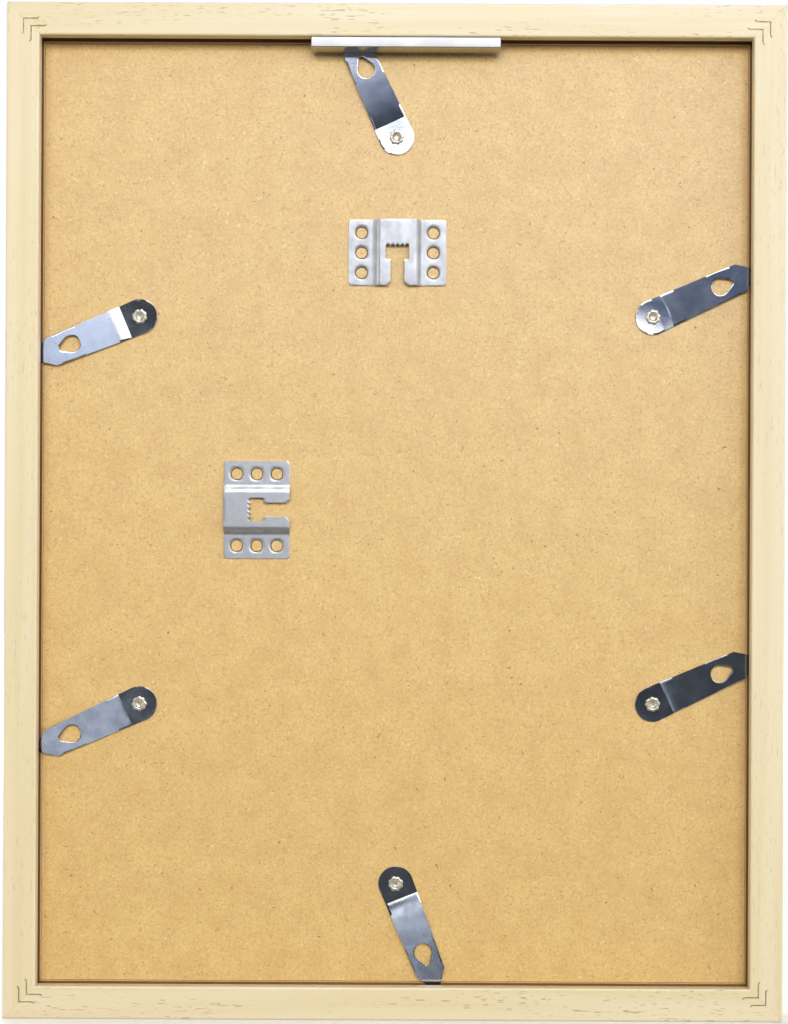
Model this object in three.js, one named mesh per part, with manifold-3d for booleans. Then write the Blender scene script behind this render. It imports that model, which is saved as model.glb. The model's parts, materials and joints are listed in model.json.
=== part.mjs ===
// Upright wooden picture frame with its back hardware, in millimetres.
// +Z is up, the picture looks along -Y and the back with its hardware looks along +Y.
// The origin is the middle of the frame. Left and right are as seen from the picture side.
import * as THREE from 'three';
import { mergeVertices } from 'three/addons/utils/BufferGeometryUtils.js';
import Module from 'manifold-3d';

const wasm = await Module();
wasm.setup();

// Picture format and the pack of sheets that lies in the rebate
const pictureWidth = 300;
const pictureHeight = 400;
const packPlay = 1;
const panelPlay = 0.15;
const glassThickness = 2;
const cardThickness = 1;
const panelThickness = 3;
const sheetGap = 0.05;

// Section of the mitred rails
const rebateWallWidth = 14;
const rebateLedge = 6;
const lipThickness = 5;
const recessDepth = 13;
const frontEdgeRadius = 2;
const backEdgeRadius = 0.9;
const mitreGap = 0.04;

// Groove in the rebate wall, measured from the back of the rail
const grooveCover = 5.2;
const grooveWidth = 5.8;
const grooveDepth = 6;

// V-nails across each mitre
const nailInsets = { outer: 7.2, inner: 10.4 };
const nailLeg = 5.8;
const nailHook = 1;
const nailSheet = 0.4;
const nailHeight = 4;
const nailSink = 0.15;
const nailClearance = 0.05;

// Tabs and hangers sit a little off the middle of the panel, and the ring of tabs is turned a little on it
const fittingsShift = { x: -0.6, z: 1.05 };
const ringTurn = THREE.MathUtils.degToRad(0.2);

// Turn tabs of spring steel
const tabSheet = 0.8;
const tabPadRadius = 7.5;
const tabCornerHalfWidth = 6.2;
const tabTipHalfWidth = 1.7;
const tabTipLength = 6.3;
const tabBendReach = 6.7;
const tabEaseReach = 3.3;
const tabEaseRise = 0.6;
const tabTilt = THREE.MathUtils.degToRad(24);
const tabLeans = {
  top: 1, bottom: -2, left_upper: 0.4, left_lower: 1, right_upper: -1.4, right_lower: 0.3,
};
const tabPanelGap = 0.3;
const tabGrooveGap = 0.7;
const tabFloorGap = 3.35;
const tabPivotInset = 40.95;
const tabSideSpacing = 166;
const pearSetback = 15.6;
const pearRadius = 3.75;
const pearTipRadius = 1.4;
const pearTaper = 4.5;

// Rivets that carry the tabs, hollow at the end that is flared
const rivetRadius = 2;
const rivetWall = 0.5;
const rivetHeadFlange = 1.9;
const rivetHeadThickness = 0.6;
const rivetSeatGap = 0.05;
const rivetFlare = 1.2;
const rivetRimHeight = 0.6;
const rivetRimGap = 0.2;
const rivetBoreDepth = 2;
const rivetPetals = 8;
const rivetNotchDepth = 0.7;
const rivetNotchHalfWidth = 0.4;
const rivetClearance = 0.3;

// Sawtooth hangers
const hangerInsets = { upright: 90.5, lying: 91.2 };
const hangerSheet = 1;
const hangerFlange = 11;
const hangerJoggle = 1.8;
const hangerPlate = 16.2;
const hangerRise = 2.4;
const hangerCorner = 1.3;
const hangerCrossbar = 12;
const slotNeckWidth = 6;
const slotNeckHeight = 11;
const slotHeadHeight = 5.2;
const slotMouthChamfer = 1.5;
const slotHeadChamfer = 0.9;
const toothCount = 5;
const toothPitch = 2.05;
const toothLand = 0.24;
const toothWall = 0.4;
const collarRadius = 2.6;
const collarSheet = 0.5;
const collarFlare = 0.6;
const collarFloor = 1.2;
const collarPitch = 8.6;
const collarInset = 5.5;
const collarsPerFlange = 3;
const collarClearance = 0.3;

// Hanging bar, an aluminium extrusion with a tongue in the groove
const barLength = 80.3;
const barOffset = -3.85;
const barHeight = 4.25;
const barWall = 1.2;
const barBackInset = 0.2;
const barTabGap = 0.3;
const barClearance = 0.3;
const barTongueGap = 1.2;

// Facets on round stretches
const roundSegments = 20;
const collarSegments = 16;
const arcSegments = 2;
const tabArcSegments = 7;
const bendSegments = 8;

// Overrun of a cut past the face it opens
const cutOverrun = 1;

// Derived places
const rebateHalfWidth = pictureWidth / 2 + packPlay;
const rebateHalfHeight = pictureHeight / 2 + packPlay;
const panelWidth = 2 * (rebateHalfWidth - panelPlay);
const panelHeight = 2 * (rebateHalfHeight - panelPlay);
const outerHalfWidth = rebateHalfWidth + rebateWallWidth;
const outerHalfHeight = rebateHalfHeight + rebateWallWidth;
const railWidth = rebateWallWidth + rebateLedge;
const packDepth = glassThickness + cardThickness + panelThickness + 3 * sheetGap;
const railDepth = lipThickness + packDepth + recessDepth;
const frontY = -railDepth / 2;
const backY = railDepth / 2;
const glassY = frontY + lipThickness + sheetGap + glassThickness / 2;
const cardY = glassY + glassThickness / 2 + sheetGap + cardThickness / 2;
const panelY = cardY + cardThickness / 2 + sheetGap + panelThickness / 2;
const panelBackY = panelY + panelThickness / 2;
const panelFrontY = panelY - panelThickness / 2;

// Heights over the panel's back, and reaches from a tab's pivot
const grooveFrontHeight = recessDepth - grooveCover - grooveWidth;
const tabRise = grooveFrontHeight + tabGrooveGap - tabPanelGap;
const tabTopHeight = tabPanelGap + tabRise + tabSheet;
const tabWallReach = tabPivotInset + grooveDepth - tabFloorGap;
const tabTipReach = (tabWallReach - tabTipHalfWidth * Math.sin(tabTilt)) / Math.cos(tabTilt);
const tabCornerReach = tabTipReach - tabTipLength;
const pearReach = tabTipReach - pearSetback;

const rivetBoreRadius = rivetRadius - rivetWall;
const rivetHeadRadius = rivetRadius + rivetHeadFlange;
const rivetRimRadius = rivetRadius + rivetFlare;
const rivetHeadSink = sheetGap + rivetHeadThickness + rivetSeatGap;

const hangerHeight = slotNeckHeight + slotHeadHeight + hangerCrossbar;
const hangerHalfWidth = hangerPlate / 2 + hangerJoggle + hangerFlange;
const toothRadius = (toothPitch - toothLand) / 2;
const collarDepth = panelThickness - collarFloor;

const finishes = {
  wood: { color: 0xf3e4c0, roughness: 0.62, metalness: 0 },
  fibreboard: { color: 0xe6c48a, roughness: 0.85, metalness: 0 },
  glass: { color: 0xeef4f2, roughness: 0.05, metalness: 0, transparent: true, opacity: 0.3 },
  card: { color: 0xf4f2ec, roughness: 0.9, metalness: 0 },
  springSteel: { color: 0xb4bac4, roughness: 0.22, metalness: 1 },
  rivetSteel: { color: 0xd2d0c6, roughness: 0.3, metalness: 1 },
  zinc: { color: 0xd9dade, roughness: 0.38, metalness: 1 },
  aluminium: { color: 0xeeeeef, roughness: 0.3, metalness: 1 },
  nailSteel: { color: 0x6d6552, roughness: 0.5, metalness: 1 },
};

const frame = new THREE.Group();

function addMesh(parent, name, geometry, finish) {
  const mesh = new THREE.Mesh(geometry, new THREE.MeshStandardMaterial(finishes[finish]));
  mesh.name = name;
  parent.add(mesh);
  return mesh;
}

// A closed geometry as a solid that can be cut and joined
function toSolid(geometry) {
  const bare = geometry.clone();
  bare.deleteAttribute('normal');
  bare.deleteAttribute('uv');
  const welded = mergeVertices(bare);
  return new wasm.Manifold(new wasm.Mesh({
    numProp: 3,
    vertProperties: new Float32Array(welded.attributes.position.array),
    triVerts: new Uint32Array(welded.index.array),
  }));
}

function toGeometry(solid) {
  const mesh = solid.getMesh();
  const geometry = new THREE.BufferGeometry();
  geometry.setAttribute('position', new THREE.BufferAttribute(new Float32Array(mesh.vertProperties), 3));
  geometry.setIndex(new THREE.BufferAttribute(new Uint32Array(mesh.triVerts), 1));
  geometry.computeVertexNormals();
  return geometry;
}

function extrude(shape, depth, curveSegments = arcSegments) {
  return new THREE.ExtrudeGeometry(shape, { depth, bevelEnabled: false, curveSegments });
}

// A plan drawn in X and Z, raised along Y from lowY to highY
function raisePlan(shape, lowY, highY, curveSegments = arcSegments) {
  return extrude(shape, highY - lowY, curveSegments).rotateX(Math.PI / 2).translate(0, highY, 0);
}

// A round rod along Y
function rod(radius, lowY, highY, segments) {
  return new THREE.CylinderGeometry(radius, radius, highY - lowY, segments)
    .translate(0, (lowY + highY) / 2, 0);
}

// The outline of a sheet of even thickness that follows a bent centre line
function ribbon(path, thickness) {
  const normals = [];
  for (let i = 1; i < path.length; i += 1) {
    const run = path[i].clone().sub(path[i - 1]).normalize();
    normals.push(new THREE.Vector2(-run.y, run.x));
  }
  const offsets = path.map((point, i) => {
    const before = normals[Math.max(i - 1, 0)];
    const after = normals[Math.min(i, normals.length - 1)];
    return before.clone().add(after).multiplyScalar(thickness / 2 / (1 + before.dot(after)));
  });
  const rightSide = path.map((point, i) => point.clone().sub(offsets[i]));
  const leftSide = path.map((point, i) => point.clone().add(offsets[i]));
  return new THREE.Shape([...rightSide, ...leftSide.reverse()]);
}

// Rail section: across from the outer edge to the sight edge, and from the front to the back
function railSection() {
  const grooveBack = railDepth - grooveCover;
  const grooveFront = grooveBack - grooveWidth;
  const grooveFloor = rebateWallWidth - grooveDepth;
  const quarter = Math.PI / 2;
  const section = new THREE.Shape();
  section.moveTo(frontEdgeRadius, 0);
  section.lineTo(railWidth - frontEdgeRadius, 0);
  section.absarc(railWidth - frontEdgeRadius, frontEdgeRadius, frontEdgeRadius, -quarter, 0, false);
  section.lineTo(railWidth, lipThickness);
  section.lineTo(rebateWallWidth, lipThickness);
  section.lineTo(rebateWallWidth, grooveFront);
  section.lineTo(grooveFloor, grooveFront);
  section.lineTo(grooveFloor, grooveBack);
  section.lineTo(rebateWallWidth, grooveBack);
  section.lineTo(rebateWallWidth, railDepth - backEdgeRadius);
  section.absarc(
    rebateWallWidth - backEdgeRadius, railDepth - backEdgeRadius, backEdgeRadius, 0, quarter, false,
  );
  section.lineTo(backEdgeRadius, railDepth);
  section.absarc(backEdgeRadius, railDepth - backEdgeRadius, backEdgeRadius, quarter, 2 * quarter, false);
  section.lineTo(0, frontEdgeRadius);
  section.absarc(frontEdgeRadius, frontEdgeRadius, frontEdgeRadius, 2 * quarter, 3 * quarter, false);
  return section;
}

// The section drawn out along a rail, with both ends slanted to the mitre
function mitredBlank(halfLength) {
  const blank = extrude(railSection(), 2 * halfLength).translate(0, 0, -halfLength);
  const points = blank.attributes.position;
  for (let i = 0; i < points.count; i += 1) {
    const reach = halfLength - points.getX(i) - mitreGap / Math.SQRT2;
    points.setZ(i, Math.sign(points.getZ(i)) * reach);
  }
  return blank;
}

// One V-nail's centre line at a corner, as a plan in X and Z
function nailLine(inset, signX, signZ, overrun) {
  const hookReach = (nailHook + overrun) / Math.SQRT2;
  const end = inset + nailLeg;
  const corner = [
    [end + hookReach, inset - hookReach],
    [end, inset],
    [inset, inset],
    [inset, end],
    [inset - hookReach, end + hookReach],
  ];
  return corner.map(([fromSide, fromEnd]) => new THREE.Vector2(
    signX * (outerHalfWidth - fromSide),
    signZ * (outerHalfHeight - fromEnd),
  ));
}

function nailSlot(inset, signX, signZ) {
  const outline = ribbon(nailLine(inset, signX, signZ, nailClearance), nailSheet + 2 * nailClearance);
  return toSolid(raisePlan(outline, backY - nailSink - nailHeight - nailClearance, backY + cutOverrun));
}

const corners = [
  { name: 'top_left', signX: -1, signZ: 1 },
  { name: 'top_right', signX: 1, signZ: 1 },
  { name: 'bottom_left', signX: -1, signZ: -1 },
  { name: 'bottom_right', signX: 1, signZ: -1 },
];

// Rails: each blank is turned so that its outer edge lies on the outside of the frame
function addRails() {
  const toward = {
    top_rail: new THREE.Vector3(0, 0, 1),
    bottom_rail: new THREE.Vector3(0, 0, -1),
    left_rail: new THREE.Vector3(-1, 0, 0),
    right_rail: new THREE.Vector3(1, 0, 0),
  };
  const back = new THREE.Vector3(0, 1, 0);
  for (const [name, outward] of Object.entries(toward)) {
    const inward = outward.clone().negate();
    const along = inward.clone().cross(back);
    const lies = outward.z !== 0;
    const edge = outward.clone().multiplyScalar(lies ? outerHalfHeight : outerHalfWidth);
    const place = new THREE.Matrix4().makeBasis(inward, back, along);
    place.setPosition(edge.x, frontY, edge.z);
    let rail = toSolid(mitredBlank(lies ? outerHalfWidth : outerHalfHeight).applyMatrix4(place));
    const ends = corners.filter(({ signX, signZ }) => signX * outward.x + signZ * outward.z > 0);
    for (const { signX, signZ } of ends) {
      for (const inset of Object.values(nailInsets)) {
        rail = rail.subtract(nailSlot(inset, signX, signZ));
      }
    }
    addMesh(frame, name, toGeometry(rail), 'wood');
  }
}

function addNails() {
  for (const { name, signX, signZ } of corners) {
    for (const [row, inset] of Object.entries(nailInsets)) {
      const outline = ribbon(nailLine(inset, signX, signZ, 0), nailSheet);
      const nail = raisePlan(outline, backY - nailSink - nailHeight, backY - nailSink);
      addMesh(frame, `v_nail_${name}_${row}`, nail, 'nailSteel');
    }
  }
}

// Turn tabs stand round the panel, each at the same distance from its rebate wall but for shift and turn.
// wallAngle turns the tab's own +X axis square to that wall.
const tabHalfSpan = rebateHalfWidth - tabPivotInset;
const tabHalfRise = rebateHalfHeight - tabPivotInset;
const tabPlaces = [
  { side: 'top', x: 0, z: tabHalfRise, wallAngle: -Math.PI / 2 },
  { side: 'bottom', x: 0, z: -tabHalfRise, wallAngle: Math.PI / 2 },
  { side: 'left_upper', x: -tabHalfSpan, z: tabSideSpacing / 2, wallAngle: Math.PI },
  { side: 'left_lower', x: -tabHalfSpan, z: -tabSideSpacing / 2, wallAngle: Math.PI },
  { side: 'right_upper', x: tabHalfSpan, z: tabSideSpacing / 2, wallAngle: 0 },
  { side: 'right_lower', x: tabHalfSpan, z: -tabSideSpacing / 2, wallAngle: 0 },
].map(({ side, x, z, wallAngle }) => ({
  side,
  x: x * Math.cos(ringTurn) + z * Math.sin(ringTurn) + fittingsShift.x,
  z: z * Math.cos(ringTurn) - x * Math.sin(ringTurn) + fittingsShift.z,
  turn: wallAngle + tabTilt + THREE.MathUtils.degToRad(tabLeans[side]),
}));

function tabOutline() {
  const outline = new THREE.Shape();
  outline.absarc(0, 0, tabPadRadius, Math.PI / 2, Math.PI * 1.5, false);
  outline.lineTo(tabCornerReach, -tabCornerHalfWidth);
  outline.lineTo(tabTipReach, -tabTipHalfWidth);
  outline.lineTo(tabTipReach, tabTipHalfWidth);
  outline.lineTo(tabCornerReach, tabCornerHalfWidth);
  return outline;
}

// Two arcs joined by their common tangents
function pearOutline() {
  const lean = Math.acos((pearRadius - pearTipRadius) / pearTaper);
  const outline = new THREE.Shape();
  outline.absarc(pearReach, 0, pearRadius, lean, 2 * Math.PI - lean, false);
  outline.absarc(pearReach + pearTaper, 0, pearTipRadius, -lean, lean, false);
  return outline;
}

// Side line of the sprung sheet: flat on the pad, a sharp bend that eases off, a straight rise to the tip
function tabSideLine() {
  const flat = tabPanelGap + tabSheet / 2;
  const armReach = tabTipReach - tabBendReach;
  const eased = (reach) => tabEaseRise * (1 - Math.exp(-reach / tabEaseReach));
  const straightRise = tabRise - eased(armReach);
  const line = [new THREE.Vector2(-tabPadRadius - cutOverrun, flat)];
  for (let i = 0; i <= bendSegments; i += 1) {
    const reach = armReach * (i / bendSegments) ** 2;
    const height = flat + eased(reach) + straightRise * (reach / armReach);
    line.push(new THREE.Vector2(tabBendReach + reach, height));
  }
  line.push(new THREE.Vector2(tabTipReach + cutOverrun, flat + tabRise));
  return line;
}

function tabGeometry() {
  const lowY = tabPanelGap - cutOverrun;
  const highY = tabTopHeight + cutOverrun;
  const breadth = 2 * (tabPadRadius + cutOverrun);
  const sheet = extrude(ribbon(tabSideLine(), tabSheet), breadth).translate(0, 0, -breadth / 2);
  const plan = raisePlan(tabOutline(), lowY, highY, tabArcSegments);
  const pear = raisePlan(pearOutline(), lowY, highY, tabArcSegments);
  const pivot = rod(rivetRadius + rivetClearance, lowY, highY, roundSegments);
  return toGeometry(
    toSolid(sheet).intersect(toSolid(plan)).subtract(toSolid(pear)).subtract(toSolid(pivot)),
  );
}

// Rivet on its own Y axis, with the panel's back at zero: head sunk in the panel's picture side, shank
// through panel and tab, and a hollow end flared over the tab and split into petals
function rivetGeometry() {
  const headLow = sheetGap - panelThickness;
  const headHigh = headLow + rivetHeadThickness;
  const rimLow = tabPanelGap + tabSheet + rivetRimGap;
  const rimHigh = rimLow + rivetRimHeight;
  const rimMiddle = (rimLow + rimHigh) / 2;
  const rimCrown = (rivetBoreRadius + rivetRimRadius) / 2;
  const profile = [
    [rivetBoreRadius, headLow],
    [rivetHeadRadius, headLow],
    [rivetHeadRadius, headHigh],
    [rivetRadius, headHigh],
    [rivetRadius, rimLow],
    [rivetRimRadius, rimLow],
    [rivetRimRadius, rimMiddle],
    [rimCrown, rimHigh],
    [rivetBoreRadius, rimMiddle],
    [rivetBoreRadius, headLow],
  ].map(([radius, height]) => new THREE.Vector2(radius, height));
  const shank = rod((rivetBoreRadius + rivetRadius) / 2, headLow, rimHigh - rivetBoreDepth, roundSegments);
  let rivet = toSolid(new THREE.LatheGeometry(profile, roundSegments)).add(toSolid(shank));
  const notch = new THREE.Shape([
    new THREE.Vector2(rivetRimRadius - rivetNotchDepth, 0),
    new THREE.Vector2(rivetRimRadius + cutOverrun, -rivetNotchHalfWidth * (1 + cutOverrun / rivetNotchDepth)),
    new THREE.Vector2(rivetRimRadius + cutOverrun, rivetNotchHalfWidth * (1 + cutOverrun / rivetNotchDepth)),
  ]);
  for (let i = 0; i < rivetPetals; i += 1) {
    const cut = raisePlan(notch, rimLow - rivetRimGap / 2, rimHigh + cutOverrun);
    rivet = rivet.subtract(toSolid(cut.rotateY((2 * Math.PI * i) / rivetPetals)));
  }
  return toGeometry(rivet);
}

function addTabs() {
  for (const { side, x, z, turn } of tabPlaces) {
    const pivot = new THREE.Group();
    pivot.position.set(x, panelBackY, z);
    frame.add(pivot);
    addMesh(pivot, `rivet_${side}`, rivetGeometry(), 'rivetSteel');
    addMesh(pivot, `turn_tab_${side}`, tabGeometry(), 'springSteel').rotation.y = turn;
  }
}

// Sawtooth hangers: one for the upright format and one, turned a quarter, for the lying format
const hangerPlaces = [
  { name: 'hanger_upright', x: 0, z: rebateHalfHeight - hangerInsets.upright, turn: 0 },
  { name: 'hanger_lying', x: rebateHalfWidth - hangerInsets.lying, z: 0, turn: Math.PI / 2 },
].map(({ name, x, z, turn }) => ({ name, x: x + fittingsShift.x, z: z + fittingsShift.z, turn }));

// Plan with the T-shaped slot: mouth at the bottom, teeth along the head's upper edge
function hangerOutline() {
  const halfHeight = hangerHeight / 2;
  const headHalfWidth = (toothCount * toothPitch) / 2;
  const neckTop = slotNeckHeight - halfHeight;
  const teethLine = neckTop + slotHeadHeight;
  const outline = new THREE.Shape();
  outline.moveTo(hangerCorner - hangerHalfWidth, -halfHeight);
  outline.lineTo(-slotNeckWidth / 2 - slotMouthChamfer, -halfHeight);
  outline.lineTo(-slotNeckWidth / 2, slotMouthChamfer - halfHeight);
  outline.lineTo(-slotNeckWidth / 2, neckTop);
  outline.lineTo(slotHeadChamfer - headHalfWidth, neckTop);
  outline.lineTo(-headHalfWidth, neckTop + slotHeadChamfer);
  outline.lineTo(-headHalfWidth, teethLine);
  for (let i = 0; i < toothCount; i += 1) {
    const middle = -headHalfWidth + (i + 0.5) * toothPitch;
    outline.lineTo(middle - toothRadius, teethLine);
    outline.absarc(middle, teethLine + toothWall, toothRadius, Math.PI, 0, true);
    outline.lineTo(middle + toothRadius, teethLine);
  }
  outline.lineTo(headHalfWidth, teethLine);
  outline.lineTo(headHalfWidth, neckTop + slotHeadChamfer);
  outline.lineTo(headHalfWidth - slotHeadChamfer, neckTop);
  outline.lineTo(slotNeckWidth / 2, neckTop);
  outline.lineTo(slotNeckWidth / 2, slotMouthChamfer - halfHeight);
  outline.lineTo(slotNeckWidth / 2 + slotMouthChamfer, -halfHeight);
  outline.lineTo(hangerHalfWidth - hangerCorner, -halfHeight);
  outline.lineTo(hangerHalfWidth, hangerCorner - halfHeight);
  outline.lineTo(hangerHalfWidth, halfHeight - hangerCorner);
  outline.lineTo(hangerHalfWidth - hangerCorner, halfHeight);
  outline.lineTo(hangerCorner - hangerHalfWidth, halfHeight);
  outline.lineTo(-hangerHalfWidth, halfHeight - hangerCorner);
  outline.lineTo(-hangerHalfWidth, hangerCorner - halfHeight);
  return outline;
}

// Side line of the sheet: flanges on the panel and a plate raised between two joggles
function hangerSideLine() {
  const flat = hangerSheet / 2;
  const line = [
    [-hangerHalfWidth - cutOverrun, flat],
    [-hangerPlate / 2 - hangerJoggle, flat],
    [-hangerPlate / 2, flat + hangerRise],
    [hangerPlate / 2, flat + hangerRise],
    [hangerPlate / 2 + hangerJoggle, flat],
    [hangerHalfWidth + cutOverrun, flat],
  ];
  return line.map(([across, height]) => new THREE.Vector2(across, height));
}

// Middles of the pressed collars in the hanger's own plan
function collarMiddles() {
  const middles = [];
  for (let i = 0; i < collarsPerFlange; i += 1) {
    const up = (i - (collarsPerFlange - 1) / 2) * collarPitch;
    middles.push([collarInset - hangerHalfWidth, up], [hangerHalfWidth - collarInset, up]);
  }
  return middles;
}

function hangerGeometry() {
  const highY = hangerRise + hangerSheet + cutOverrun;
  const sheet = extrude(ribbon(hangerSideLine(), hangerSheet), hangerHeight + 2 * cutOverrun)
    .translate(0, 0, -hangerHeight / 2 - cutOverrun);
  let hanger = toSolid(sheet).intersect(toSolid(raisePlan(hangerOutline(), -cutOverrun, highY)));
  for (const [across, up] of collarMiddles()) {
    const collar = rod(collarRadius + collarSheet, -collarDepth, hangerSheet / 2, collarSegments);
    const bore = rod(collarRadius, -collarDepth - cutOverrun, hangerSheet + cutOverrun, collarSegments);
    const mouthRadius = collarRadius + collarFlare + cutOverrun;
    const mouthDepth = collarFlare + cutOverrun;
    const mouth = new THREE.CylinderGeometry(mouthRadius, collarRadius, mouthDepth, collarSegments)
      .translate(0, hangerSheet + (cutOverrun - collarFlare) / 2, 0);
    hanger = hanger.add(toSolid(collar.translate(across, 0, up)));
    hanger = hanger.subtract(toSolid(bore.translate(across, 0, up)));
    hanger = hanger.subtract(toSolid(mouth.translate(across, 0, up)));
  }
  return toGeometry(hanger);
}

function addHangers() {
  for (const { name, x, z, turn } of hangerPlaces) {
    const hanger = addMesh(frame, name, hangerGeometry(), 'zinc');
    hanger.position.set(x, panelBackY + sheetGap, z);
    hanger.rotation.y = turn;
  }
}

// Back panel: counterbored holes for the rivets, and ring grooves where the hanger collars are pressed in
function panelGeometry() {
  const board = new THREE.BoxGeometry(panelWidth, panelThickness, panelHeight).translate(0, panelY, 0);
  let panel = toSolid(board);
  for (const { x, z } of tabPlaces) {
    const low = panelFrontY - cutOverrun;
    const hole = rod(rivetRadius + rivetClearance, low, panelBackY + cutOverrun, roundSegments);
    const seat = rod(rivetHeadRadius + rivetClearance, low, panelFrontY + rivetHeadSink, roundSegments);
    panel = panel.subtract(toSolid(hole.translate(x, 0, z))).subtract(toSolid(seat.translate(x, 0, z)));
  }
  const ringLow = panelBackY - collarDepth - collarClearance;
  const ringHigh = panelBackY + cutOverrun;
  const ringOuter = collarRadius + collarSheet + collarClearance;
  const ringInner = collarRadius - collarClearance;
  const outside = rod(ringOuter, ringLow, ringHigh, collarSegments);
  const core = rod(ringInner, ringLow - cutOverrun, ringHigh + cutOverrun, collarSegments);
  const ring = toSolid(outside).subtract(toSolid(core));
  for (const { x, z, turn } of hangerPlaces) {
    for (const [across, up] of collarMiddles()) {
      const place = new THREE.Vector3(across, 0, up).applyAxisAngle(new THREE.Vector3(0, 1, 0), turn);
      panel = panel.subtract(ring.translate(x + place.x, 0, z + place.z));
    }
  }
  return toGeometry(panel);
}

function addPack() {
  const glass = new THREE.BoxGeometry(pictureWidth, glassThickness, pictureHeight).translate(0, glassY, 0);
  const card = new THREE.BoxGeometry(pictureWidth, cardThickness, pictureHeight).translate(0, cardY, 0);
  addMesh(frame, 'glass_pane', glass, 'glass');
  addMesh(frame, 'insert_card', card, 'card');
  addMesh(frame, 'back_panel', panelGeometry(), 'fibreboard');
}

// Hanging bar section in Y and Z: a web that bears on the wall hook, a leg that shows,
// and a tongue that stands in the groove behind its cover
function barSection() {
  const webTop = rebateHalfHeight - barClearance - barHeight + barWall;
  const webLow = webTop - barWall;
  const legTop = rebateHalfHeight - barClearance;
  const legBack = backY - barBackInset;
  const tongueBack = backY - grooveCover - barClearance;
  const tongueTop = rebateHalfHeight + grooveDepth - barTongueGap;
  const webFront = panelBackY + tabTopHeight + barTabGap;
  const outline = [
    [webFront, webLow],
    [legBack, webLow],
    [legBack, legTop],
    [legBack - barWall, legTop],
    [legBack - barWall, webTop],
    [tongueBack, webTop],
    [tongueBack, tongueTop],
    [tongueBack - barWall, tongueTop],
    [tongueBack - barWall, webTop],
    [webFront, webTop],
  ];
  return new THREE.Shape(outline.map(([y, z]) => new THREE.Vector2(y, z)));
}

function addBar() {
  // The section's own axes become Y and Z, and its length becomes X
  const stand = new THREE.Matrix4().makeBasis(
    new THREE.Vector3(0, 1, 0), new THREE.Vector3(0, 0, 1), new THREE.Vector3(1, 0, 0),
  );
  const bar = extrude(barSection(), barLength).translate(0, 0, -barLength / 2).applyMatrix4(stand);
  addMesh(frame, 'hanging_bar', bar, 'aluminium').position.x = barOffset;
}

addRails();
addNails();
addPack();
addTabs();
addHangers();
addBar();

export default frame;
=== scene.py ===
import json
import math
import bmesh
import bpy
import numpy as np
from mathutils import Matrix, Vector


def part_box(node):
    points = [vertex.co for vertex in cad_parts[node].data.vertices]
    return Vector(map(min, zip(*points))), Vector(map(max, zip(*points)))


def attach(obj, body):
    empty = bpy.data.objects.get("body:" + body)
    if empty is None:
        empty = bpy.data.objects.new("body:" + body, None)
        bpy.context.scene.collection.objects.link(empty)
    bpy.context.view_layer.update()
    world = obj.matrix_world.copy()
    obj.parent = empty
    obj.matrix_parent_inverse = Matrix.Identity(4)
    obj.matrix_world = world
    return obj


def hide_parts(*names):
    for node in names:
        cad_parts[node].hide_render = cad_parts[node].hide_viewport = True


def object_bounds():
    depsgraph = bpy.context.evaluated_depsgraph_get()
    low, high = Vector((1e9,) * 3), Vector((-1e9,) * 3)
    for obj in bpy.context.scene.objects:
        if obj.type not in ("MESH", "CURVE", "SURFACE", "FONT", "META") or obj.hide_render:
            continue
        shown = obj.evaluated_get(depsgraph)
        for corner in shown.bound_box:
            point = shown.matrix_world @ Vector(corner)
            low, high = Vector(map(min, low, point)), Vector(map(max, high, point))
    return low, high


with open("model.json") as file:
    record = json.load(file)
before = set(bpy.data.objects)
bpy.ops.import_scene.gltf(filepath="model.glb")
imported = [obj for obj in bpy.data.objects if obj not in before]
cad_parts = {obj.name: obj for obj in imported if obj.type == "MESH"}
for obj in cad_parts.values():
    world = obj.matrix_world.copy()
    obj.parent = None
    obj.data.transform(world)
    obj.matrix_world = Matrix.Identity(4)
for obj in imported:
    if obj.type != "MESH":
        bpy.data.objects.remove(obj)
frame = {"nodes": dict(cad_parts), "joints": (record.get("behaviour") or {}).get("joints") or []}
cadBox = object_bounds()
nodes = frame["nodes"]
mm = 0.001
hairline = 1e-7          # a gap narrower than this counts as closed
white = (1, 1, 1, 1)
sides = ("top", "bottom", "left_upper", "left_lower", "right_upper", "right_lower")
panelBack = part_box("back_panel")[1].y    # height zero for everything that sits on the panel
print("frame loaded,", len(nodes), "nodes")


# colour as read on a screen, 0 to 255, turned into the linear value a shader takes
def screenColour(red, green, blue):
    share = np.array([red, green, blue]) / 255
    light = np.where(share <= 0.04045, share / 12.92, ((share + 0.055) / 1.055) ** 2.4)
    return (*light.tolist(), 1.0)


# node helpers: an input is either a plain value or the socket that feeds it
def putNode(tree, kind, inputs=None, **settings):
    node = tree.nodes.new("ShaderNode" + kind)
    for name, value in settings.items():
        setattr(node, name, value)
    for socket, value in (inputs or {}).items():
        if isinstance(value, bpy.types.NodeSocket):
            tree.links.new(value, node.inputs[socket])
        else:
            node.inputs[socket].default_value = value
    return node


def mixColour(tree, factor, first, second):
    # a colour Mix node keeps its factor at input 0, its colours at 6 and 7 and its result at output 2
    return putNode(tree, "Mix", {0: factor, 6: first, 7: second}, data_type="RGBA").outputs[2]


def stretch(tree, vector, scale):
    return putNode(tree, "Mapping", {"Vector": vector, "Scale": scale}).outputs[0]


def noise(tree, vector, scale, detail=2.0, roughness=0.5):
    inputs = {"Vector": vector, "Scale": scale, "Detail": detail, "Roughness": roughness}
    return putNode(tree, "TexNoise", inputs).outputs[0]


def ramp(tree, value, low, high, start=0.0, end=1.0, smooth=True):
    inputs = {"Value": value, "From Min": low, "From Max": high, "To Min": start, "To Max": end}
    kind = "SMOOTHSTEP" if smooth else "LINEAR"
    return putNode(tree, "MapRange", inputs, interpolation_type=kind).outputs[0]


def calc(tree, operation, first, second):
    return putNode(tree, "Math", {0: first, 1: second}, operation=operation).outputs[0]


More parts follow.
